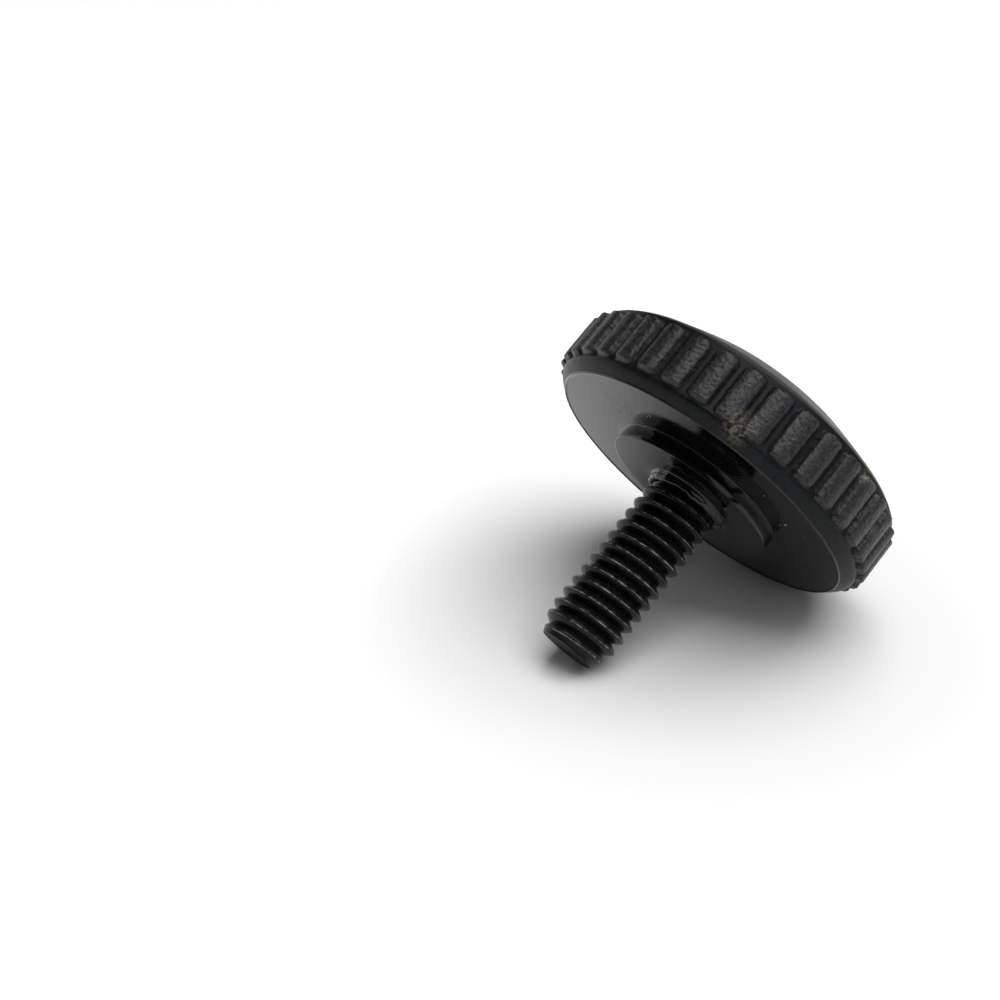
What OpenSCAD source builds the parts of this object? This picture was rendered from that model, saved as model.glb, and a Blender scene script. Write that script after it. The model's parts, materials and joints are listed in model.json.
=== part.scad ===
// Thumb screw: a moulded plastic head with a padded rim and a driver slot, on a steel stud.
// It lies on its rim and the tip of its stud, on a level surface at Z = 0.
// The screw is drawn upright first, with the head's underside at height 0 and the stud below it.

/* [Rim] */
// Diameter of the rim between its pads
rim_d = 17.5; // [14:0.1:24]
// Height of the rim's straight wall above the underside
rim_wall_h = 3.45; // [2.8:0.05:6]
// Radius of the round between the underside and the rim's wall
rim_edge_r = 0.55; // [0.2:0.05:1]
// Height of the slope between the rim's wall and the dome
shoulder_h = 0.25; // [0.1:0.05:1.5]
// How far the dome's edge lies inside the rim's wall
shoulder_in = 0.3; // [0.1:0.05:0.8]

/* [Pads] */
// Number of raised pads around the rim
pad_count = 38; // [24:1:38]
// Height of a pad above the rim
pad_lift = 0.35; // [0.2:0.05:0.6]
// Width of a pad around the rim
pad_w = 1.1; // [0.7:0.05:1.3]
// Corner radius of a pad, seen from the side of the rim
pad_corner_r = 0.3; // [0.1:0.02:0.34]
// Radius of a pad's crowned face
pad_crown_r = 1.3; // [0.8:0.05:3]
// Height of the bevel at both ends of a pad
pad_bevel = 0.15; // [0.05:0.05:0.4]
// Plain band of the rim's wall below the pads
band_below = 0.1; // [0:0.05:0.5]
// Plain band of the rim's wall above the pads
band_above = 0.2; // [0:0.05:0.5]

/* [Crown] */
// Height of the top flat above the dome's edge
crown_rise = 1.8; // [1.2:0.1:3]
// Diameter of the top flat
flat_d = 7.6; // [7.2:0.1:11]
// Height by which the dome bulges above a straight line from its edge to the flat
crown_bulge = 0.2; // [0.1:0.02:0.3]

/* [Slot] */
// Length of the driver slot
slot_l = 6.9; // [4:0.1:7]
// Width of the driver slot
slot_w = 1.7; // [1:0.05:2]
// Depth of the driver slot below the top flat
slot_depth = 1.9; // [1:0.05:2.4]
// Corner radius at the ends of the slot
slot_corner_r = 0.25; // [0.1:0.05:0.45]
// Turn of the slot about the screw's axis, from the side that lies on the surface
slot_turn = 80; // [0:5:175]

/* [Boss] */
// Diameter of the boss around the stud
boss_d = 9.0; // [6:0.1:13]
// Height of the boss below the underside
boss_h = 0.75; // [0.4:0.05:3]
// Width of the moulding flash around the stud, where it meets the boss
flash_w = 0.3; // [0.1:0.05:0.8]
// Height of the moulding flash along the stud
flash_h = 0.55; // [0.2:0.05:1]

/* [Stud] */
// Major diameter of the thread
stud_d = 3.9; // [3.7:0.01:5]
// Length of the stud from the boss to its tip
stud_l = 9.6; // [5:0.1:30]
// Length of the chamfer at the tip
tip_chamfer = 1.15; // [0.3:0.05:1.5]
// Diameter of the flat end of the tip
tip_d = 2.8; // [2:0.1:3.4]
// Diameter of the stud's neck inside the head
neck_d = 3.5; // [3:0.05:3.65]
// Width across the flats of the hexagon that anchors the stud
anchor_af = 7.0; // [5:0.1:9]
// Thickness of the anchoring hexagon
anchor_h = 2.5; // [1.5:0.1:2.8]
// Height of the hexagon's lower face above the underside
anchor_z = 0.4; // [0.1:0.05:0.6]

/* [Hidden] */

// Spare length of a cutting shape past the surface that it cuts
over = 1;
$fn = 96;

rim_r = rim_d / 2;
underside_r = rim_r - rim_edge_r;
pad_r = rim_r + pad_lift;
pad_start = rim_edge_r + band_below;
pad_end = rim_wall_h - band_above;
pad_l = pad_end - pad_start;

// The dome is a cone from its edge to its bend, then part of a sphere from there to the top flat.
dome_edge_r = rim_r - shoulder_in;
dome_edge_h = rim_wall_h + shoulder_h;
crown_h = dome_edge_h + crown_rise;
flat_r = flat_d / 2;
bend_r = (dome_edge_r + flat_r) / 2;
bend_h = (dome_edge_h + crown_h) / 2 + crown_bulge;
dome_z = (crown_h ^ 2 + flat_r ^ 2 - bend_h ^ 2 - bend_r ^ 2) / (2 * (crown_h - bend_h));
dome_r = sqrt(flat_r ^ 2 + (crown_h - dome_z) ^ 2);

stud_r = stud_d / 2;
tip_z = -boss_h - stud_l;
chamfer_z = tip_z + tip_chamfer;
flash_z = -boss_h - flash_h;

// At rest two neighbouring pads, or the round below them, touch the surface with one corner of the tip.
// A circle is [radius, height], and tilt is the angle between the screw's axis and the surface.
tip_circles = [[stud_r, chamfer_z], [tip_d / 2, tip_z]];
pad_circle = [(pad_r - pad_crown_r) * cos(180 / pad_count) + pad_crown_r, pad_start + pad_bevel];
function depth(circle, t) = circle[0] * cos(t) - circle[1] * sin(t);
function rim_depth(t) = max(depth(pad_circle, t), depth([underside_r, rim_edge_r], t) + rim_edge_r);
function tip_depth(t) = max([for (c = tip_circles) depth(c, t)]);
function level_tilt(low, high, steps = 40) =
    let (t = (low + high) / 2)
    steps == 0 ? t
    : rim_depth(t) > tip_depth(t) ? level_tilt(t, high, steps - 1)
    : level_tilt(low, t, steps - 1);
tilt = level_tilt(0, 90);

// Circles that reach furthest along the surface, ahead of the screw's head and behind its tip
dome_far_r = max(flat_r, min(bend_r, dome_r * sin(tilt)));
dome_circle = [dome_far_r, dome_z + sqrt(dome_r ^ 2 - dome_far_r ^ 2)];
rim_circles = [[dome_edge_r, dome_edge_h], [rim_r, rim_wall_h], [pad_circle[0], pad_end - pad_bevel]];
front_circles = concat([dome_circle], rim_circles);
back_circles = concat(tip_circles, [pad_circle, [underside_r, 0]]);
front = max([for (c = front_circles) c[0] * sin(tilt) + c[1] * cos(tilt)]);
back = max([for (c = back_circles) c[0] * sin(tilt) - c[1] * cos(tilt)]);

// Lays the upright screw down, with its head towards +X and the middle of its box over the origin.
module at_rest() {
    translate([(back - front) / 2, 0, rim_depth(tilt)])
        rotate([0, 90 - tilt, 0])
            children();
}

// A rectangle with round corners, centred on the origin
module rounded_rectangle(l, w, r) {
    square([l - 2 * r, w], center = true);
    square([l, w - 2 * r], center = true);
    for (x = [-1, 1], y = [-1, 1])
        translate([x * (l / 2 - r), y * (w / 2 - r)])
            circle(r);
}

// The solid of the head without its pads, boss, slot and anchor
module head_blank() {
    rotate_extrude() {
        square([underside_r, rim_edge_r]);
        translate([underside_r, rim_edge_r])
            intersection() {
                circle(rim_edge_r);
                translate([0, -rim_edge_r])
                    square(rim_edge_r);
            }
        polygon([
            [0, rim_edge_r], [rim_r, rim_edge_r], [rim_r, rim_wall_h],
            [dome_edge_r, dome_edge_h], [bend_r, bend_h], [0, bend_h]
        ]);
        translate([0, dome_z])
            intersection() {
                circle(dome_r);
                translate([0, bend_h - dome_z - over])
                    square([bend_r, crown_h - bend_h + over]);
            }
    }
}

// One raised pad, on the side of the rim that faces +X
module pad() {
    intersection() {
        translate([rim_r - over, 0, (pad_start + pad_end) / 2])
            rotate([0, 90, 0])
                linear_extrude(pad_lift + over)
                    rounded_rectangle(pad_l, pad_w, pad_corner_r);
        translate([pad_r - pad_crown_r, 0, pad_start])
            cylinder(pad_l, r = pad_crown_r);
    }
}

// The envelope that bevels both ends of every pad
module pad_envelope() {
    rotate_extrude()
        polygon([
            [0, pad_start], [rim_r, pad_start], [pad_r, pad_start + pad_bevel],
            [pad_r, pad_end - pad_bevel], [rim_r, pad_end], [0, pad_end]
        ]);
}

// The ring of pads, with a gap between two of them on the side that lies on the surface
module pads() {
    intersection() {
        pad_envelope();
        for (i = [0 : pad_count - 1])
            rotate([0, 0, (i + 0.5) * 360 / pad_count])
                pad();
    }
}

module slot() {
    translate([0, 0, crown_h - slot_depth])
        rotate([0, 0, slot_turn])
            linear_extrude(slot_depth + over)
                rounded_rectangle(slot_l, slot_w, slot_corner_r);
}

// The boss that seats on the work, with the thin flash that the mould left around the stud
module boss() {
    translate([0, 0, -boss_h])
        cylinder(boss_h + rim_edge_r, r = boss_d / 2);
    translate([0, 0, -boss_h])
        mirror([0, 0, 1])
            cylinder(flash_h, r1 = stud_r + flash_w, r2 = stud_r);
}

// The neck and the hexagonal anchor of the stud, around which the head is moulded
module moulded_in() {
    translate([0, 0, flash_z - over])
        cylinder(anchor_z - flash_z + 2 * over, r = neck_d / 2);
    translate([0, 0, anchor_z])
        cylinder(anchor_h, r = anchor_af / 2 / cos(30), $fn = 6);
}

// Moulded plastic head
module head() {
    color("#26282b")
        at_rest()
            difference() {
                union() {
                    head_blank();
                    pads();
                    boss();
                }
                slot();
                moulded_in();
            }
}

// Steel stud: outside the head it is a plain cylinder of the thread's major diameter
module stud() {
    color("#0f0f11")
        at_rest() {
            moulded_in();
            translate([0, 0, chamfer_z])
                cylinder(flash_z - chamfer_z, r = stud_r);
            translate([0, 0, tip_z])
                cylinder(tip_chamfer, r1 = tip_d / 2, r2 = stud_r);
        }
}

head();
stud();
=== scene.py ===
# Thumb screw: a moulded black head with rough pads around its rim, on a blackened steel thread.
# Every piece is drawn in millimetres on the screw's own axis, with the head's underside at height 0,
# the crown above it and the thread below, and is then laid down where the frame has it.
import json
import math
from math import cos, pi, radians, sin

import bmesh
import bpy
from mathutils import Matrix, Vector, noise


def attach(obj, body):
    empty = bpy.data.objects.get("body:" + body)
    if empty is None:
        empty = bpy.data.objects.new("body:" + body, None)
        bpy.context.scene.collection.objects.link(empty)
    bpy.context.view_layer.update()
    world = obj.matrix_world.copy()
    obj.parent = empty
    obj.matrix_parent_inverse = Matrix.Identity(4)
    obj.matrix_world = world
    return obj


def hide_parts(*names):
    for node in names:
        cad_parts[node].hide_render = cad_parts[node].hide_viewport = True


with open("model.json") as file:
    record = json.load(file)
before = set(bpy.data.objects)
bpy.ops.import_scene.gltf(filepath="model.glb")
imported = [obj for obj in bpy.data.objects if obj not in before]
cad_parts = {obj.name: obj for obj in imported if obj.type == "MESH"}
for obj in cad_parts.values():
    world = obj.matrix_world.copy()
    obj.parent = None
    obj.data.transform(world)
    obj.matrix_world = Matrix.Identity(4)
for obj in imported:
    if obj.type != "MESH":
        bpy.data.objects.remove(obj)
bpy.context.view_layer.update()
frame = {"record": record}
millimetre = 0.001

head = {
    "crownHeight": 5.5,  # from the underside to the top flat
    "rimRadius": 8.75,  # between the pads
    "edgeRound": 0.55,  # between the underside and the rim
    "edgeHandle": 0.38,  # how squarely that round turns up into the rim
    "wallTop": 3.45,
    "domeRadius": 8.45,
    "domeBottom": 3.7,
    "flatRadius": 3.8,
    "bulge": 0.25,  # of the dome above a straight slope
    "bendReach": 0.9,  # how far to both sides the dome's bend is rounded off
    "bendDrop": 0.012,
    "bossRadius": 4.5,
    "bossHeight": 0.75,
    "boreRadius": 1.75,
    "anchorFlats": 7.0,
    "anchorBottom": 0.4,
    "anchorHeight": 2.5,
    "anchorGap": 0.005,  # between the anchor and the walls of its room
    "columns": 240,  # faces around everything but the rim
}

# the screw's own frame: the driver slot's mount gives its axis and the middle of its top flat
mounts = {mount["name"]: mount for mount in frame["record"]["mounts"]}
axis = Vector(mounts["driver_slot"]["axis"]).normalized()
side = Vector((0, 1, 0))
down = side.cross(axis)  # the screw's own +X, the side that it lies on
lie = Matrix((down, side, axis)).transposed().to_4x4()
lie.translation = Vector(mounts["driver_slot"]["pos_m"]) - axis * head["crownHeight"] * millimetre
lie = lie @ Matrix.Scale(millimetre, 4)


def newTree(name, values):
    # a Geometry Nodes tree with a named input for each value; returns it with its inputs' sockets
    kinds = {int: "NodeSocketInt", float: "NodeSocketFloat", bpy.types.Material: "NodeSocketMaterial"}
    tree = bpy.data.node_groups.new(name, "GeometryNodeTree")
    tree.interface.new_socket("Geometry", in_out="OUTPUT", socket_type="NodeSocketGeometry")
    for label, value in values.items():
        socket = tree.interface.new_socket(label, in_out="INPUT", socket_type=kinds[type(value)])
        socket.default_value = value
    return tree, tree.nodes.new("NodeGroupInput").outputs


def link(tree, value, socket):
    # joins a socket to a socket, or writes a plain value
    if isinstance(value, bpy.types.NodeSocket):
        tree.links.new(value, socket)
    elif value is not None:
        socket.default_value = value


def calc(tree, operation, a, b=None, c=None, clamp=False):
    # one step of arithmetic on sockets or plain numbers
    node = tree.nodes.new("ShaderNodeMath")
    node.operation = operation
    node.use_clamp = clamp
    for value, socket in zip((a, b, c), node.inputs):
        link(tree, value, socket)
    return node.outputs[0]


def plus(tree, a, b):
    return calc(tree, "ADD", a, b)


def minus(tree, a, b):
    return calc(tree, "SUBTRACT", a, b)


def times(tree, a, b):
    return calc(tree, "MULTIPLY", a, b)


def larger(tree, a, b):
    return calc(tree, "MAXIMUM", a, b)


def smaller(tree, a, b):
    return calc(tree, "MINIMUM", a, b)


def ramp(tree, value, low, high, bottom, top, kind="LINEAR"):
    # carries value from low..high to bottom..top, clamped
    node = tree.nodes.new("ShaderNodeMapRange")
    node.interpolation_type = kind
    for given, socket in zip((value, low, high, bottom, top), node.inputs):
        link(tree, given, socket)
    return node.outputs[0]


def mixNumber(tree, share, a, b):
    node = tree.nodes.new("ShaderNodeMix")
    node.data_type = "FLOAT"
    for value, socket in zip((share, a, b), (node.inputs[0], node.inputs[2], node.inputs[3])):
        link(tree, value, socket)
    return node.outputs[0]


def mixColor(tree, share, a, b):
    node = tree.nodes.new("ShaderNodeMix")
    node.data_type = "RGBA"
    link(tree, share, node.inputs[0])
    for color, socket in zip((a, b), (node.inputs[6], node.inputs[7])):
        link(tree, (*color, 1) if isinstance(color, tuple) else color, socket)
    return node.outputs[2]


def around(tree, angle, radius, height):
    # the point at an angle, a radius and a height
    node = tree.nodes.new("ShaderNodeCombineXYZ")
    x = times(tree, calc(tree, "COSINE", angle), radius)
    y = times(tree, calc(tree, "SINE", angle), radius)
    for value, socket in zip((x, y, height), node.inputs):
        link(tree, value, socket)
    return node.outputs[0]


def noiseAt(tree, position, scale, detail=2.0, rough=0.5, distortion=0.0, seed=0.0):
    node = tree.nodes.new("ShaderNodeTexNoise")
    node.noise_dimensions = "4D"
    settings = {
        "Vector": position,
        "W": seed,
        "Scale": scale,
        "Detail": detail,
        "Roughness": rough,
        "Distortion": distortion,
    }
    for label, value in settings.items():
        link(tree, value, node.inputs[label])
    return node.outputs[0]


def store(tree, geometry, label, value):
    # keeps a value at every point, under a name that nodes and materials can read
    node = tree.nodes.new("GeometryNodeStoreNamedAttribute")
    node.data_type = "FLOAT"
    node.domain = "POINT"
    node.inputs["Name"].default_value = label
    link(tree, geometry, node.inputs["Geometry"])
    link(tree, value, node.inputs["Value"])
    return node.outputs[0]


def sheetOf(tree, columns, rows):
    # a sheet to roll up: gives the sheet, the angle around and the share of the height at each point
    grid = tree.nodes.new("GeometryNodeMeshGrid")
    grid.inputs["Size X"].default_value = 1
    grid.inputs["Size Y"].default_value = 1
    link(tree, plus(tree, columns, 1), grid.inputs["Vertices X"])
    link(tree, plus(tree, rows, 1), grid.inputs["Vertices Y"])
    split = tree.nodes.new("ShaderNodeSeparateXYZ")
    link(tree, tree.nodes.new("GeometryNodeInputPosition").outputs[0], split.inputs[0])
    angle = times(tree, plus(tree, split.outputs[0], 0.5), 2 * pi)
    share = plus(tree, split.outputs[1], 0.5)
    return grid.outputs[0], angle, share


def paint(tree, geometry, material, where=None):
    # gives all faces one material, or only those where a value is true
    node = tree.nodes.new("GeometryNodeSetMaterial")
    link(tree, geometry, node.inputs["Geometry"])
    link(tree, where, node.inputs["Selection"])
    link(tree, material, node.inputs["Material"])
    return node.outputs[0]


def rollUp(tree, sheet, angle, radius, height, material, second=None, where=None):
    # wraps the sheet round the axis, closes its seam, paints it and hands it to the tree's output
    move = tree.nodes.new("GeometryNodeSetPosition")
    link(tree, sheet, move.inputs["Geometry"])
    link(tree, around(tree, angle, radius, height), move.inputs["Position"])
    merge = tree.nodes.new("GeometryNodeMergeByDistance")
    link(tree, move.outputs[0], merge.inputs["Geometry"])
    merge.inputs["Distance"].default_value = 0.0005
    real = tree.nodes.new("GeometryNodeRealizeInstances")
    link(tree, merge.outputs[0], real.inputs[0])
    painted = paint(tree, real.outputs[0], material)
    if second:
        painted = paint(tree, painted, second, where)
    out = tree.nodes.new("NodeGroupOutput")
    link(tree, painted, out.inputs[0])


def growMesh(name, tree, values):
    # runs a tree on an empty object and returns the plain mesh that it makes
    holder = bpy.data.objects.new(name + "Holder", bpy.data.meshes.new(name + "Holder"))
    bpy.context.scene.collection.objects.link(holder)
    modifier = holder.modifiers.new(name, "NODES")
    modifier.node_group = tree
    for item in tree.interface.items_tree:
        if item.in_out == "INPUT":
            modifier[item.identifier] = values[item.name]
    bpy.context.view_layer.update()
    grown = holder.evaluated_get(bpy.context.evaluated_depsgraph_get())
    mesh = bpy.data.meshes.new_from_object(grown)
    mesh.name = name
    holder.modifiers.remove(modifier)
    bpy.data.objects.remove(holder)
    return mesh


marks = {
    # angle, radius and height of a mark on the head, then its reach
    "smudges": [((218, 8.8, 0.75), 0.95), ((258, 9.0, 3.15), 0.5)],
    "pits": ((158, 5.6, 0), 1.5),
    "core": 0.35,  # share of its reach within which a mark has its full strength
    "tan": (0.15, 0.135, 0.1),
}


def newMaterial(name, color, roughness, specular):
    # a finish at its plain values, which the noises of each finish then vary
    material = bpy.data.materials.new(name)
    material.use_nodes = True
    tree = material.node_tree
    shader = tree.nodes["Principled BSDF"]
    shader.inputs["Base Color"].default_value = (*color, 1)
    shader.inputs["Roughness"].default_value = roughness
    shader.inputs["Specular IOR Level"].default_value = specular
    place = tree.nodes.new("ShaderNodeTexCoord").outputs["Object"]
    return material, tree, shader, place


def bumpOn(tree, shader, height, distance):
    # a bump too fine to model, its distance in metres
    node = tree.nodes.new("ShaderNodeBump")
    node.inputs["Strength"].default_value = 1
    node.inputs["Distance"].default_value = distance
    link(tree, height, node.inputs["Height"])
    link(tree, node.outputs[0], shader.inputs["Normal"])


def attributeOf(tree, name):
    node = tree.nodes.new("ShaderNodeAttribute")
    node.attribute_name = name
    return node.outputs["Fac"]


def near(tree, place, mark):
    # 1 at a mark on the head, falling to 0 at its reach
    (degrees, radius, height), reach = mark
    angle = radians(degrees)
    node = tree.nodes.new("ShaderNodeVectorMath")
    node.operation = "DISTANCE"
    link(tree, place, node.inputs[0])
    node.inputs[1].default_value = lie @ Vector((radius * cos(angle), radius * sin(angle), height))
    return ramp(tree, node.outputs["Value"], reach * millimetre, marks["core"] * reach * millimetre, 0, 1)


def smudgeOn(tree, place, color):
    # the tan rubs, at the foot of the rim and near its top
    rubbed = 0
    for mark in marks["smudges"]:
        rubbed = larger(tree, rubbed, near(tree, place, mark))
    speckle = ramp(tree, noiseAt(tree, place, 5200, 3, 0.7, seed=6), 0.42, 0.6, 0, 0.9)
    return mixColor(tree, times(tree, rubbed, speckle), color, marks["tan"])


def wallPlastic():
    # smooth mould surface between the pads
    material, tree, shader, place = newMaterial("wallPlastic", (0.005, 0.006, 0.007), 0.36, 0.12)
    patches = noiseAt(tree, place, 900, 3, 0.6)
    grain = noiseAt(tree, place, 6500, 3, 0.6, 0.5)
    mottle = times(tree, ramp(tree, patches, 0.3, 0.65, 0.3, 1), ramp(tree, grain, 0.4, 0.65, 0, 1))
    tone = mixColor(tree, mottle, (0.004, 0.005, 0.006), (0.014, 0.015, 0.016))
    link(tree, smudgeOn(tree, place, tone), shader.inputs["Base Color"])
    link(tree, ramp(tree, patches, 0.3, 0.7, 0.32, 0.42), shader.inputs["Roughness"])
    bumpOn(tree, shader, grain, 0.000008)
    return material


def padPlastic():
    # rough skin of the pads: the grain's bumps are real, and its tone, lighter on their high spots and
    # darker in their hollows, is painted highlight and painted shade
    material, tree, shader, place = newMaterial("padPlastic", (0.008, 0.008, 0.009), 0.45, 0.36)
    patches = noiseAt(tree, place, 700, 3, 0.6)
    grain = noiseAt(tree, place, 7000, 1.5, 0.5, 0.8)
    # painted shade in the grain's hollows and painted highlight on its high spots, following the same
    # noise as the bump
    fine = mixColor(tree, ramp(tree, grain, 0.4, 0.7, 0, 1), (0.001, 0.001, 0.002), (0.033, 0.034, 0.037))
    tone = mixColor(tree, ramp(tree, patches, 0.3, 0.7, 0, 0.5), fine, (0.006, 0.006, 0.007))
    link(tree, smudgeOn(tree, place, tone), shader.inputs["Base Color"])
    link(tree, ramp(tree, patches, 0.3, 0.7, 0.38, 0.46), shader.inputs["Roughness"])
    bumpOn(tree, shader, grain, 0.00002)
    return material


def glossPlastic():
    # the polished underside and boss, with a few pits, a faint haze and specks of dust
    material, tree, shader, place = newMaterial("glossPlastic", (0.003, 0.003, 0.004), 0.1, 0.34)
    haze = noiseAt(tree, place, 600, 3, 0.6)
    pits = ramp(tree, noiseAt(tree, place, 7500, 1, 0.5, seed=8), 0.62, 0.68, 0, 1)
    pits = times(tree, pits, near(tree, place, marks["pits"]))
    dust = ramp(tree, noiseAt(tree, place, 4200, 0, 0.5, seed=11), 0.83, 0.85, 0, 1)
    tone = mixColor(tree, pits, (0.003, 0.003, 0.004), (0.002, 0.002, 0.002))
    link(tree, mixColor(tree, dust, tone, (0.35, 0.35, 0.34)), shader.inputs["Base Color"])
    dulled = times(tree, larger(tree, pits, dust), 0.5)
    link(tree, plus(tree, ramp(tree, haze, 0.3, 0.75, 0.07, 0.14), dulled), shader.inputs["Roughness"])
    bumpOn(tree, shader, minus(tree, times(tree, haze, 0.01), pits), 0.00004)
    return material


def domePlastic():
    # satin crown with a fine grain and pale specks of dust
    material, tree, shader, place = newMaterial("domePlastic", (0.014, 0.015, 0.016), 0.45, 0.6)
    patches = noiseAt(tree, place, 500, 3, 0.6)
    dust = ramp(tree, noiseAt(tree, place, 5200, 1, 0.5, seed=3), 0.77, 0.8, 0, 1)
    clouds = ramp(tree, patches, 0.3, 0.7, 0, 1)
    tone = mixColor(tree, clouds, (0.012, 0.013, 0.014), (0.019, 0.020, 0.021))
    link(tree, mixColor(tree, dust, tone, (0.30, 0.30, 0.29)), shader.inputs["Base Color"])
    link(tree, ramp(tree, patches, 0.3, 0.7, 0.4, 0.5), shader.inputs["Roughness"])
    bumpOn(tree, shader, noiseAt(tree, place, 12000, 3, 0.6), 0.00001)
    return material


def slotPlastic():
    # the slot's walls and floor, a little rougher
    material, tree, shader, place = newMaterial("slotPlastic", (0.008, 0.009, 0.010), 0.5, 0.35)
    grain = noiseAt(tree, place, 9000, 3, 0.6)
    tone = mixColor(tree, grain, (0.005, 0.006, 0.007), (0.013, 0.014, 0.015))
    link(tree, tone, shader.inputs["Base Color"])
    bumpOn(tree, shader, grain, 0.00003)
    return material


def blackSteel():
    # glossy black finish in the thread's flanks, with a painted highlight of pale metal along its crests,
    # and real wear on the crests that the chamfer cuts back
    material, tree, shader, place = newMaterial("blackSteel", (0.005, 0.005, 0.006), 0.2, 0.13)
    fromCrest = attributeOf(tree, "fromCrest")
    aside = calc(tree, "ABSOLUTE", minus(tree, attributeOf(tree, "offCrest"), 0.15))
    scuffs = noiseAt(tree, place, 3000, 3, 0.6)
    fine = noiseAt(tree, place, 16000, 2, 0.6)
    # a painted highlight along each crest, with a fainter painted highlight beside it, both broken by
    # scuffs
    paintedCrestHighlights = larger(tree, ramp(tree, fromCrest, 0.1, 0.05, 0, 1), ramp(tree, aside, 0.02, 0.01, 0, 0.3))
    paintedCrestHighlights = times(tree, paintedCrestHighlights, ramp(tree, scuffs, 0.44, 0.62, 0.08, 1))
    # the crests that the chamfer cuts back are rubbed in fine spots
    rubbed = times(tree, attributeOf(tree, "trimmed"), ramp(tree, fromCrest, 0.3, 0.05, 0, 1))
    rubbed = times(tree, rubbed, ramp(tree, fine, 0.5, 0.68, 0, 0.35))
    # the painted crest highlights, together with the real wear rubbed on the trimmed crests
    worn = calc(tree, "MAXIMUM", paintedCrestHighlights, rubbed, clamp=True)
    clouds = ramp(tree, scuffs, 0.3, 0.7, 0, 1)
    tone = mixColor(tree, clouds, (0.004, 0.004, 0.005), (0.009, 0.009, 0.010))
    # pale metal colour where the crests carry the painted highlight or the rubbed wear
    link(tree, mixColor(tree, worn, tone, (0.28, 0.27, 0.26)), shader.inputs["Base Color"])
    link(tree, times(tree, worn, 0.5), shader.inputs["Metallic"])
    dull = plus(tree, ramp(tree, scuffs, 0.3, 0.7, 0.12, 0.24), times(tree, worn, 0.32))
    link(tree, dull, shader.inputs["Roughness"])
    bumpOn(tree, shader, fine, 0.000002)
    return material


def endSteel():
    # the dull sheared end of the stud
    material, tree, shader, place = newMaterial("endSteel", (0.010, 0.010, 0.011), 0.55, 0.2)
    scuffs = noiseAt(tree, place, 2500, 4, 0.65, 0.5)
    clouds = ramp(tree, scuffs, 0.35, 0.7, 0, 1)
    tone = mixColor(tree, clouds, (0.006, 0.006, 0.007), (0.022, 0.022, 0.024))
    link(tree, tone, shader.inputs["Base Color"])
    link(tree, ramp(tree, scuffs, 0.3, 0.7, 0.5, 0.65), shader.inputs["Roughness"])
    bumpOn(tree, shader, scuffs, 0.00002)
    return material


finishes = {
    "wall": wallPlastic(),
    "pad": padPlastic(),
    "gloss": glossPlastic(),
    "dome": domePlastic(),
    "slot": slotPlastic(),
    "steel": blackSteel(),
    "end": endSteel(),
}
headFinishes = ["wall", "pad", "gloss", "dome", "slot"]
studFinishes = ["steel", "end"]
print("materials made:", len(finishes))


pads = {
    "count": 38,
    "lift": 0.35,
    "width": 1.18,
    "bottom": 0.65,
    "top": 3.25,
    "corner": 0.3,
    "crown": 1.05,  # radius across a pad
    "slopeFoot": 0.05,  # where a pad's sloping side starts, outside its outline
    "slopeTop": -0.13,  # and where it ends, inside
    "grain": 0.055,  # depth of the rough texture
    "grainScale": 5.0,
    "ragged": 0.05,  # how far the pads' edges wander
    "raggedScale": 3.5,
    "seed": 2.0,
    "columns": 1140,
    "rows": 58,
}


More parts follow.
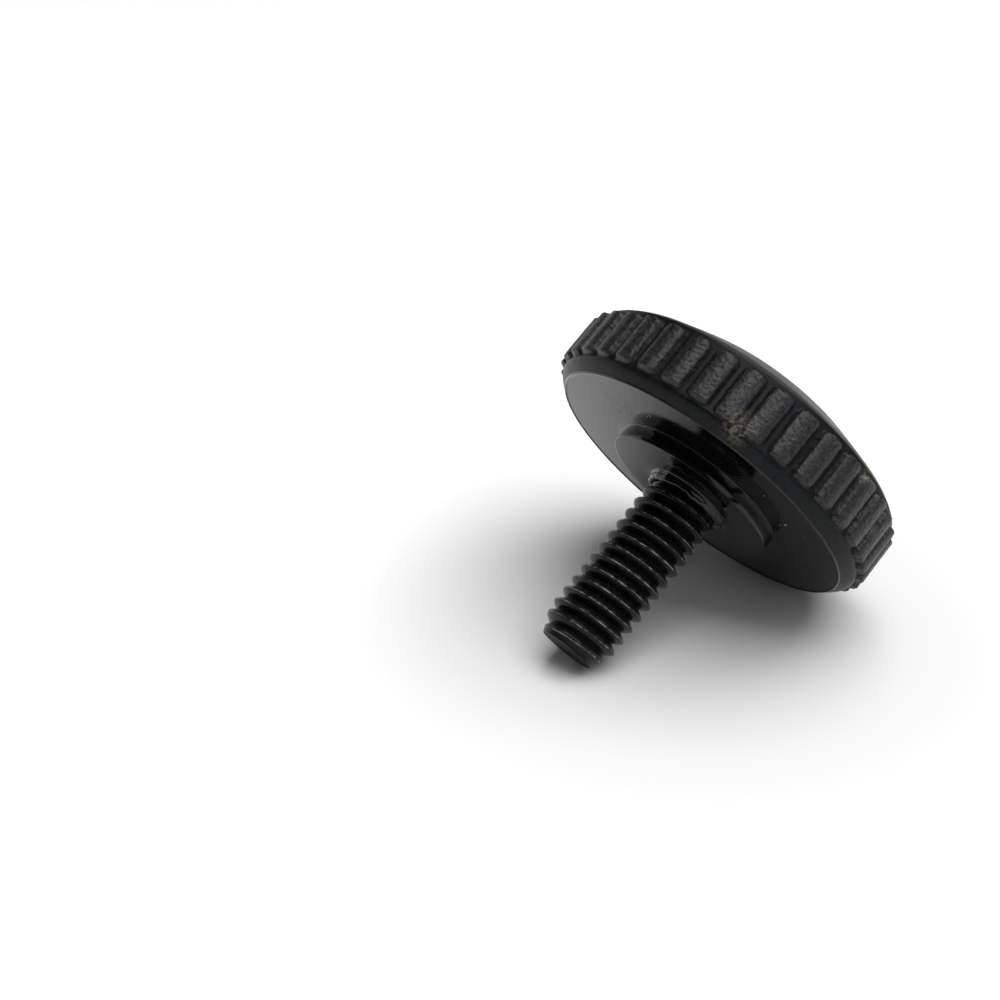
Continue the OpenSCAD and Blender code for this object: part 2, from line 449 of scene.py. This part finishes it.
def rimTree(values):
    # the wall between the edge round and the shoulder, with one rough raised pad to each step around
    tree, size = newTree("padRim", values)
    sheet, angle, share = sheetOf(tree, size["columns"], size["rows"])
    height = ramp(tree, share, 0, 1, size["wallBottom"], size["wallTop"])
    bareWall = around(tree, angle, size["wallRadius"], height)
    # how far a point lies from the middle of its pad
    turns = calc(tree, "DIVIDE", times(tree, angle, size["count"]), 2 * pi)
    step = calc(tree, "DIVIDE", 2 * pi, size["count"])
    across = times(tree, minus(tree, calc(tree, "FRACT", turns), 0.5), step)
    across = times(tree, across, size["wallRadius"])
    along = minus(tree, height, times(tree, plus(tree, size["bottom"], size["top"]), 0.5))
    halfWidth = times(tree, size["width"], 0.5)
    halfLength = times(tree, minus(tree, size["top"], size["bottom"]), 0.5)
    # distance outside the pad's rounded rectangle, negative on the pad
    pastSide = plus(tree, minus(tree, calc(tree, "ABSOLUTE", across), halfWidth), size["corner"])
    pastEnd = plus(tree, minus(tree, calc(tree, "ABSOLUTE", along), halfLength), size["corner"])
    outX = larger(tree, pastSide, 0)
    outY = larger(tree, pastEnd, 0)
    outside = calc(tree, "SQRT", plus(tree, times(tree, outX, outX), times(tree, outY, outY)))
    inside = smaller(tree, larger(tree, pastSide, pastEnd), 0)
    distance = minus(tree, plus(tree, outside, inside), size["corner"])
    # the edge wanders
    edgeSeed = plus(tree, size["seed"], 5)
    wander = minus(tree, noiseAt(tree, bareWall, size["raggedScale"], 3, 0.6, seed=edgeSeed), 0.5)
    distance = plus(tree, distance, times(tree, wander, times(tree, size["ragged"], 3)))
    onPad = ramp(tree, distance, size["slopeFoot"], size["slopeTop"], 0, 1, "SMOOTHSTEP")
    # the pad's face is crowned, and wrinkled with its high spots cut level
    arc = minus(tree, times(tree, size["crown"], size["crown"]), times(tree, across, across))
    sag = minus(tree, size["crown"], calc(tree, "SQRT", larger(tree, arc, 0)))
    face = larger(tree, minus(tree, size["lift"], sag), 0)
    wrinkle = noiseAt(tree, bareWall, size["grainScale"], 0.5, 0.5, 0.8, seed=size["seed"])
    wrinkle = smaller(tree, minus(tree, wrinkle, 0.52), 0.08)
    face = plus(tree, face, times(tree, wrinkle, size["grain"]))
    radius = plus(tree, size["wallRadius"], times(tree, face, onPad))
    sheet = store(tree, sheet, "pad", onPad)
    named = tree.nodes.new("GeometryNodeInputNamedAttribute")
    named.data_type = "FLOAT"
    named.inputs["Name"].default_value = "pad"
    raised = calc(tree, "GREATER_THAN", named.outputs["Attribute"], 0.2)
    rollUp(tree, sheet, angle, radius, height, size["wallMaterial"], size["padMaterial"], raised)
    return tree


def rimMesh():
    values = {
        **pads,
        "wallRadius": head["rimRadius"],
        "wallBottom": head["edgeRound"],
        "wallTop": head["wallTop"],
        "wallMaterial": finishes["wall"],
        "padMaterial": finishes["pad"],
    }
    return growMesh("rim", rimTree(values), values)


def finishIndex(finish):
    # where a finish stands in its own piece's list
    return (headFinishes if finish in headFinishes else studFinishes).index(finish)


def turn(point):
    # angle of a point around the axis, from 0 to a full turn
    return math.atan2(point.co.y, point.co.x) % (2 * pi)


def ringAt(bm, height):
    # the points of a grown mesh at one height, in order around the axis
    return sorted((point for point in bm.verts if abs(point.co.z - height) < 1e-4), key=turn)


def circle(bm, count, radius, height):
    # a ring of points; radius and height may follow the angle
    ring = []
    for i in range(count):
        a = 2 * pi * i / count
        r = radius(a) if callable(radius) else radius
        z = height(a) if callable(height) else height
        ring.append(bm.verts.new((r * cos(a), r * sin(a), z)))
    return ring


def outline(bm, points, height):
    return [bm.verts.new((x, y, height)) for x, y in points]


def bridge(bm, first, second, finish):
    # joins two rings of any two counts; the second lies further along, seen with the surface on the right
    made = []
    if len(first) == len(second):
        n = len(first)
        for i in range(n):
            j = (i + 1) % n
            made.append(bm.faces.new((first[i], first[j], second[j], second[i])))
    else:
        a = sorted(first, key=turn)
        b = sorted(second, key=turn)
        i = j = 0
        while i < len(a) or j < len(b):
            nextA = turn(a[i + 1]) if i + 1 < len(a) else turn(a[0]) + 2 * pi
            nextB = turn(b[j + 1]) if j + 1 < len(b) else turn(b[0]) + 2 * pi
            if j >= len(b) or (i < len(a) and nextA <= nextB):
                made.append(bm.faces.new((a[i], a[(i + 1) % len(a)], b[j % len(b)])))
                i += 1
            else:
                made.append(bm.faces.new((a[i % len(a)], b[(j + 1) % len(b)], b[j])))
                j += 1
    for face in made:
        face.material_index = finishIndex(finish)
        face.smooth = True
    return second


def addRings(bm, ring, rings, count, finish):
    # carries the surface on from a ring over circles of given radius and height
    for radius, height in rings:
        ring = bridge(bm, ring, circle(bm, count, radius, height), finish)
    return ring


def capRing(bm, ring, finish, facesUp):
    face = bm.faces.new(ring if facesUp else list(reversed(ring)))
    face.material_index = finishIndex(finish)
    face.smooth = True


def sharpen(bm, degrees):
    # creases where two faces meet at a steep angle
    for edge in bm.edges:
        if len(edge.link_faces) == 2 and edge.calc_face_angle(0) > radians(degrees):
            edge.smooth = False


def startFrom(mesh, materials):
    # opens a grown mesh for more faces, its materials numbered as in the finished piece
    bm = bmesh.new()
    bm.from_mesh(mesh)
    numbers = [materials.index(material) if material else 0 for material in mesh.materials]
    for face in bm.faces:
        face.material_index = numbers[face.material_index]
    return bm


def layDown(bm, name, materials):
    # lays a finished mesh down in the frame, as one object at the origin
    bmesh.ops.triangulate(bm, faces=[face for face in bm.faces if len(face.verts) > 4])
    bm.transform(lie)
    mesh = bpy.data.meshes.new(name)
    bm.to_mesh(mesh)
    bm.free()
    for material in materials:
        mesh.materials.append(material)
    piece = bpy.data.objects.new(name, mesh)
    bpy.context.scene.collection.objects.link(piece)
    return piece


def alongSides(corners, spacing):
    # points along the sides of a closed outline, about as far apart as the spacing
    points = []
    for (x0, y0), (x1, y1) in zip(corners, corners[1:] + corners[:1]):
        steps = max(1, round(math.hypot(x1 - x0, y1 - y0) / spacing))
        for k in range(steps):
            points.append((x0 + (x1 - x0) * k / steps, y0 + (y1 - y0) * k / steps))
    return points


def hexagon(flats):
    # the outline of the anchor, six points to a side
    reach = flats / math.sqrt(3)
    corners = [(reach * cos(pi / 3 * k), reach * sin(pi / 3 * k)) for k in range(6)]
    return alongSides(corners, reach / 6)


flash = {
    "tip": -1.3,
    "width": 0.3,
    "ragged": 0.12,
    "lipTurn": 295.0,  # angle at which one torn lip stands off
    "lip": 0.24,
    "rings": [
        # radius, share of the flash's width added to it, share of the way up to the boss, and lift
        (1.88, 0.05, 0, -0.01),
        (1.93, 0.35, 0, 0.02),
        (1.95, 0.75, 0.25, 0),
        (1.96, 0.7, 0.55, 0),
        (1.97, 0.8, 0.85, 0),
        (2.0, 0.95, 1, -0.015),
        (2.05, 1, 1, 0),
    ],
}


def wobble(angle, pace, seed):
    # smooth uneven value around the axis, about -1 to 1
    return noise.noise(Vector((pace * cos(angle), pace * sin(angle), seed)))


def flashTip(angle):
    # height of the flash's lower edge, with slow waves and small tears
    waves = wobble(angle, 1.2, 3)
    tears = wobble(angle, 5, 5)
    return flash["tip"] + flash["ragged"] * (0.9 + waves + 0.8 * tears)


def flashWidth(angle):
    # how far the flash reaches beyond the thread, with one hooked lip
    waves = wobble(angle, 1.5, 9)
    tears = wobble(angle, 6, 2)
    lip = max(0, cos(angle - radians(flash["lipTurn"]))) ** 12
    return flash["width"] * (0.45 + 0.35 * waves + 0.25 * tears) + flash["lip"] * lip


def flashRing(radius, share, climb, lift):
    # the radius and height of one ring of the flash, as they go around
    def radiusAt(angle):
        return radius + share * flashWidth(angle)

    def heightAt(angle):
        return flashTip(angle) * (1 - climb) - head["bossHeight"] * climb + lift

    return radiusAt, heightAt


def bossRings():
    # the boss's face, then its wall between two small rounds
    r = head["bossRadius"]
    face = -head["bossHeight"]
    rings = [(radius, face) for radius in (2.75, 3.4, 4.0, 4.4, r - 0.03)]
    rings += [(r - 0.008, face + 0.006), (r, face + 0.026), (r, -0.4)]
    return rings + [(r, -0.03), (r + 0.008, -0.008), (r + 0.03, 0)]


def undersideRings():
    # the flat underside, then the fine raised line that runs around its edge
    edge = head["rimRadius"] - head["edgeRound"]
    rings = [(radius, 0) for radius in (5.0, 5.8, 6.6, 7.4, 7.9, 8.06, edge - 0.1)]
    line = [(-0.075, -0.018), (-0.05, -0.036), (-0.015, -0.042), (0.015, -0.03), (0.035, 0), (0.055, 0.03)]
    return rings + [(edge + out, height) for out, height in line]


def edgeRings(steps=10):
    # the round from the underside up to the rim's wall
    edge = head["rimRadius"] - head["edgeRound"]
    rings = []
    for k in range(1, steps):
        t = k / steps
        height = 2 * t * (1 - t) * head["edgeHandle"] + t * t * head["edgeRound"]
        rings.append((edge + head["edgeRound"] * (2 * t - t * t), height))
    return rings


def shoulderRings():
    # the slope between the rim's wall and the dome, rounded at both ends
    wall = head["rimRadius"]
    wallTop = head["wallTop"]
    dome = head["domeRadius"]
    domeFoot = head["domeBottom"]
    return [
        (wall - 0.01, wallTop + 0.03),
        (wall - 0.05, wallTop + 0.065),
        (dome + 0.05, domeFoot - 0.035),
        (dome + 0.01, domeFoot - 0.005),
        (dome - 0.04, domeFoot + 0.012),
    ]


def domeRings(steps=40):
    # a cone from the shoulder to the dome's bend, then part of a ball up to the flat
    r0, z0 = head["domeRadius"], head["domeBottom"]
    r1, z1 = head["flatRadius"], head["crownHeight"]
    bendR, bendZ = (r0 + r1) / 2, (z0 + z1) / 2 + head["bulge"]
    centre = (z1**2 + r1**2 - bendZ**2 - bendR**2) / (2 * (z1 - bendZ))
    ball = math.hypot(r1, z1 - centre)
    rings = []
    for k in range(1, steps):
        r = r0 + (r1 - r0) * k / steps
        cone = z0 + (r0 - r) / (r0 - bendR) * (bendZ - z0)
        cap = centre + math.sqrt(ball**2 - r**2)
        soft = max(0, 1 - abs(r - bendR) / head["bendReach"])
        rings.append((r, (cone if r > bendR else cap) - head["bendDrop"] * soft**2))
    return rings


def flatRings():
    # the softened edge of the top flat
    r = head["flatRadius"]
    top = head["crownHeight"]
    return [(r + 0.02, top - 0.003), (r - 0.03, top), (r - 0.12, top)]


slot = {
    "length": 6.9,
    "width": 1.7,
    "depth": 1.9,
    "corner": 0.25,
    "turn": 80.0,  # in degrees, from the side that the screw lies on
    "perCorner": 8,  # faces around a corner
    "perSide": 24,  # and along the slot
}


def slotOutline(grow):
    # points around the slot, grown outwards by grow
    halfLength = slot["length"] / 2 + grow
    halfWidth = slot["width"] / 2 + grow
    r = slot["corner"] + grow
    corners = []
    for sx, sy, start in ((1, 1, 0), (-1, 1, 90), (-1, -1, 180), (1, -1, 270)):
        for k in range(slot["perCorner"] + 1):
            a = radians(start + 90 * k / slot["perCorner"])
            corners.append((sx * (halfLength - r) + r * cos(a), sy * (halfWidth - r) + r * sin(a)))
    c = cos(radians(slot["turn"]))
    s = sin(radians(slot["turn"]))
    points = alongSides(corners, 2 * halfLength / slot["perSide"])
    return [(x * c - y * s, x * s + y * c) for x, y in points]


def slotRings():
    # from the top flat down to the slot's floor: how far its outline is grown, the height and the finish
    top = head["crownHeight"]
    floor = top - slot["depth"]
    return [
        (0.05, top, "dome"),
        (0.015, top - 0.015, "dome"),
        (0, top - 0.05, "dome"),
        (0, top - 0.6, "slot"),
        (0, floor + 0.06, "slot"),
        (-0.02, floor + 0.015, "slot"),
        (-0.06, floor, "slot"),
    ]


def buildHead():
    materials = [finishes[name] for name in headFinishes]
    bm = startFrom(rimMesh(), materials)
    rimFoot = ringAt(bm, head["edgeRound"])
    rimTop = ringAt(bm, head["wallTop"])
    # the anchor's hidden room
    room = hexagon(head["anchorFlats"])
    ring = outline(bm, room, head["anchorBottom"] + head["anchorHeight"])
    capRing(bm, ring, "gloss", False)
    ring = bridge(bm, ring, outline(bm, room, head["anchorBottom"]), "gloss")
    # the bore down to the flash, then everything outside it up to the rim
    rings = [(head["boreRadius"], head["anchorBottom"]), (head["boreRadius"], flashTip)]
    rings += [flashRing(*numbers) for numbers in flash["rings"]]
    rings += bossRings() + undersideRings()
    ring = addRings(bm, ring, rings, head["columns"], "gloss")
    ring = addRings(bm, ring, edgeRings(), head["columns"], "wall")
    bridge(bm, ring, rimFoot, "wall")
    # from the rim over the dome into the slot
    rings = shoulderRings() + domeRings() + flatRings()
    ring = addRings(bm, rimTop, rings, head["columns"], "dome")
    for grow, height, finish in slotRings():
        ring = bridge(bm, ring, outline(bm, slotOutline(grow), height), finish)
    capRing(bm, ring, "slot", True)
    sharpen(bm, 30)
    return layDown(bm, "ScrewHead", materials)


thread = {
    "radius": 1.95,
    "pitch": 0.7,
    "depth": 0.43,
    "start": -1.1,  # inside the flash
    "neckRadius": 1.74,
    "neckLength": 0.12,  # bare neck below the thread's start
    "runOut": 0.75,  # over which the thread grows to its full radius
    "end": -10.35,
    "chamfer": 1.15,
    "endRadius": 1.4,
    "blend": 0.04,  # softness of the cuts at both ends
    "uneven": 0.02,  # how far the crests vary
    "seed": 4.0,
    "columns": 144,
    "rows": 380,
}
crestMark = {"below": 8.61, "turn": 217}  # a crest lies this far below the underside, at this angle


def threadTree(values):
    # a sheet rolled into a helical thread, cut back at both ends
    tree, size = newTree("helicalThread", values)
    sheet, angle, share = sheetOf(tree, size["columns"], size["rows"])
    height = ramp(tree, share, 0, 1, size["end"], size["start"])
    bareWall = around(tree, angle, size["radius"], height)
    # share of a pitch from the nearest crest, rising with the angle for a right-hand thread
    pitches = calc(tree, "DIVIDE", height, size["pitch"])
    turns = minus(tree, pitches, calc(tree, "DIVIDE", angle, 2 * pi))
    phase = calc(tree, "FRACT", plus(tree, plus(tree, turns, size["phase"]), 100.5))
    off = minus(tree, phase, 0.5)
    fromCrest = times(tree, calc(tree, "ABSOLUTE", off), 2)
    fall = calc(tree, "POWER", ramp(tree, fromCrest, 0.05, 1, 0, 1), 1.4)
    # the crests stand a little uneven
    unevenness = minus(tree, noiseAt(tree, bareWall, 1.6, 3, 0.6, seed=size["seed"]), 0.5)
    worn = times(tree, calc(tree, "ABSOLUTE", unevenness), times(tree, size["uneven"], 4))
    crest = minus(tree, size["radius"], worn)
    # the chamfer cuts the crests back, and the grooves grow shallower until it lies this far below them
    spare = 0.12
    chamferTop = plus(tree, size["end"], size["chamfer"])
    tip = ramp(tree, height, size["end"], chamferTop, size["endRadius"], size["radius"])
    root = minus(tree, size["radius"], size["depth"])
    aboveRoot = minus(tree, tip, minus(tree, root, spare))
    left = calc(tree, "DIVIDE", aboveRoot, plus(tree, size["depth"], spare), clamp=True)
    depth = times(tree, size["depth"], calc(tree, "POWER", left, 0.5))
    crest = smaller(tree, crest, plus(tree, tip, 0.03))
    radius = minus(tree, crest, times(tree, fall, depth))
    # the neck at the top
    neckEnd = minus(tree, size["start"], size["neckLength"])
    fullFrom = minus(tree, neckEnd, size["runOut"])
    neck = ramp(tree, height, neckEnd, fullFrom, size["neckRadius"], size["radius"])
    radius = calc(tree, "SMOOTH_MIN", radius, smaller(tree, neck, tip), size["blend"])
    onNeck = ramp(tree, height, minus(tree, size["start"], 0.02), neckEnd, 1, 0)
    radius = mixNumber(tree, onNeck, radius, size["neckRadius"])
    sheet = store(tree, sheet, "fromCrest", fromCrest)
    sheet = store(tree, sheet, "offCrest", off)
    sheet = store(tree, sheet, "trimmed", ramp(tree, left, 0.97, 0.75, 0, 1))
    rollUp(tree, sheet, angle, radius, height, size["material"])
    return tree


def threadMesh():
    phase = crestMark["below"] / thread["pitch"] + crestMark["turn"] / 360
    values = {**thread, "phase": phase % 1, "material": finishes["steel"]}
    return growMesh("thread", threadTree(values), values)


def buildStud():
    materials = [finishes[name] for name in studFinishes]
    bm = startFrom(threadMesh(), materials)
    foot = ringAt(bm, thread["end"])
    top = ringAt(bm, thread["start"])
    count = 96
    # the end face, slightly dished
    ring = circle(bm, count, 0.35, thread["end"] + 0.03)
    capRing(bm, ring, "end", False)
    dish = [(0.8, 0.022), (1.1, 0.01), (1.22, 0.004)]
    ring = addRings(bm, ring, [(radius, thread["end"] + rise) for radius, rise in dish], count, "end")
    bridge(bm, ring, foot, "end")
    # the neck inside the head, and the anchor that the head is moulded over
    gap = head["anchorGap"]
    low = head["anchorBottom"] + gap
    high = head["anchorBottom"] + head["anchorHeight"] - gap
    anchor = hexagon(head["anchorFlats"] - 2 * gap)
    ring = bridge(bm, top, circle(bm, count, thread["neckRadius"], low), "steel")
    ring = bridge(bm, ring, outline(bm, anchor, low), "steel")
    ring = bridge(bm, ring, outline(bm, anchor, high), "steel")
    capRing(bm, ring, "steel", True)
    sharpen(bm, 50)
    return layDown(bm, "ThreadedStud", materials)


screwHead = buildHead()
print("head built:", len(screwHead.data.polygons), "faces")
stud = buildStud()
print("stud built:", len(stud.data.polygons), "faces")

for piece, node, finish in ((screwHead, "head", "head_plastic"), (stud, "stud", "stud_steel")):
    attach(piece, "root")
    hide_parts(node)


studio = {
    "white": (0.93, 0.93, 0.93),
    "floorSize": 3.0,
    "floorGlow": 0.0,  # lifts the floor's white where the camera or a reflection sees it
    "farGlow": 0.22,  # the same, away from the screw
    "farFrom": 0.009,
    "farTo": 0.024,
    "worldLevel": 0.05,
    "aim": (0, 0, 0.008),
    "distance": 0.9,
    "backdrop": {"radius": 0.7, "height": 0.36, "heading": 98.0, "spread": 30.0, "steps": 32, "glow": 0.3},
    "lights": [
        # name, brightness, width, height, direction
        ("sideBox", 1.0, 0.62, 0.65, (-0.04, -0.86, 0.46)),
        ("topBox", 3.7, 0.92, 0.92, (0.15, -0.25, 0.95)),
    ],
}


def seenBy(tree, *rays):
    # 1 for the camera and the named kinds of ray, 0 for the light that falls on things
    path = tree.nodes.new("ShaderNodeLightPath")
    seen = path.outputs["Is Camera Ray"]
    for ray in rays:
        seen = larger(tree, seen, path.outputs[ray])
    return seen


def paleSurface(name, nearGlow, farGlow):
    # white cloth, lifted only where the camera or a reflection sees it, and more so far from the screw
    material, tree, shader, place = newMaterial(name, studio["white"], 0.9, 0.1)
    seen = seenBy(tree, "Is Glossy Ray", "Is Transmission Ray")
    shader.inputs["Emission Color"].default_value = (1, 1, 1, 1)
    length = tree.nodes.new("ShaderNodeVectorMath")
    length.operation = "LENGTH"
    link(tree, place, length.inputs[0])
    far = length.outputs["Value"]
    glow = ramp(tree, far, studio["farFrom"], studio["farTo"], nearGlow, farGlow, "SMOOTHSTEP")
    link(tree, times(tree, seen, glow), shader.inputs["Emission Strength"])
    return material


def stagePiece(name, mesh, material):
    mesh.materials.append(material)
    piece = bpy.data.objects.new(name, mesh)
    bpy.context.scene.collection.objects.link(piece)
    return piece


def buildFloor():
    mesh = bpy.data.meshes.new("floor")
    s = studio["floorSize"]
    mesh.from_pydata([(-s, -s, 0), (s, -s, 0), (s, s, 0), (-s, s, 0)], [], [(0, 1, 2, 3)])
    floor = stagePiece("floor", mesh, paleSurface("paleFloor", studio["floorGlow"], studio["farGlow"]))


def buildBackdrop():
    # a pale curved wall behind the screw, which its gloss shows
    wall = studio["backdrop"]
    bm = bmesh.new()
    columns = []
    for k in range(wall["steps"] + 1):
        a = radians(wall["heading"] + wall["spread"] * (2 * k / wall["steps"] - 1))
        x = wall["radius"] * cos(a)
        y = wall["radius"] * sin(a)
        columns.append([bm.verts.new((x, y, z)) for z in (-0.001, wall["height"])])
    for (a, b), (c, d) in zip(columns, columns[1:]):
        bm.faces.new((a, b, d, c))
    mesh = bpy.data.meshes.new("backdrop")
    bm.to_mesh(mesh)
    bm.free()
    backdrop = stagePiece("backdrop", mesh, paleSurface("paleBackdrop", wall["glow"], wall["glow"]))


def buildLight():
    # two soft boxes, and a dim world that looks white to the camera
    world = bpy.data.worlds.new("studio")
    bpy.context.scene.world = world
    world.use_nodes = True
    tree = world.node_tree
    back = tree.nodes["Background"]
    back.inputs["Color"].default_value = (1, 1, 1, 1)
    seen = seenBy(tree, "Is Transmission Ray")
    link(tree, ramp(tree, seen, 0, 1, studio["worldLevel"], 1), back.inputs["Strength"])
    for name, level, width, height, direction in studio["lights"]:
        lamp = bpy.data.lights.new(name, "AREA")
        lamp.shape = "RECTANGLE"
        lamp.size = width
        lamp.size_y = height
        lamp.energy = level * pi * width * height
        holder = bpy.data.objects.new(name, lamp)
        toLight = Vector(direction).normalized()
        holder.location = Vector(studio["aim"]) + toLight * studio["distance"]
        holder.rotation_euler = toLight.to_track_quat("Z", "Y").to_euler()
        bpy.context.scene.collection.objects.link(holder)


shot = {
    "lens": 49.124,
    "sensor": 36,
    "clip": (0.001, 20),
    "location": (-0.0427444, -0.041092, 0.0384739),
    "heading": 52.683,  # in degrees, from +X towards +Y
    "dip": 28.353,
    "roll": -2.158,
}


def buildCamera():
    lens = bpy.data.cameras.new("camera")
    lens.lens = shot["lens"]
    lens.sensor_width = shot["sensor"]
    lens.clip_start, lens.clip_end = shot["clip"]
    camera = bpy.data.objects.new("camera", lens)
    camera.location = shot["location"]
    turned = (
        Matrix.Rotation(radians(shot["heading"] - 90), 4, "Z")
        @ Matrix.Rotation(radians(90 - shot["dip"]), 4, "X")
        @ Matrix.Rotation(radians(shot["roll"]), 4, "Z")
    )
    camera.rotation_euler = turned.to_euler()
    bpy.context.scene.collection.objects.link(camera)
    bpy.context.scene.camera = camera


buildFloor()
buildBackdrop()
buildLight()
buildCamera()
bpy.context.scene.view_settings.view_transform = "Standard"
print("studio set")

bpy.context.view_layer.update()
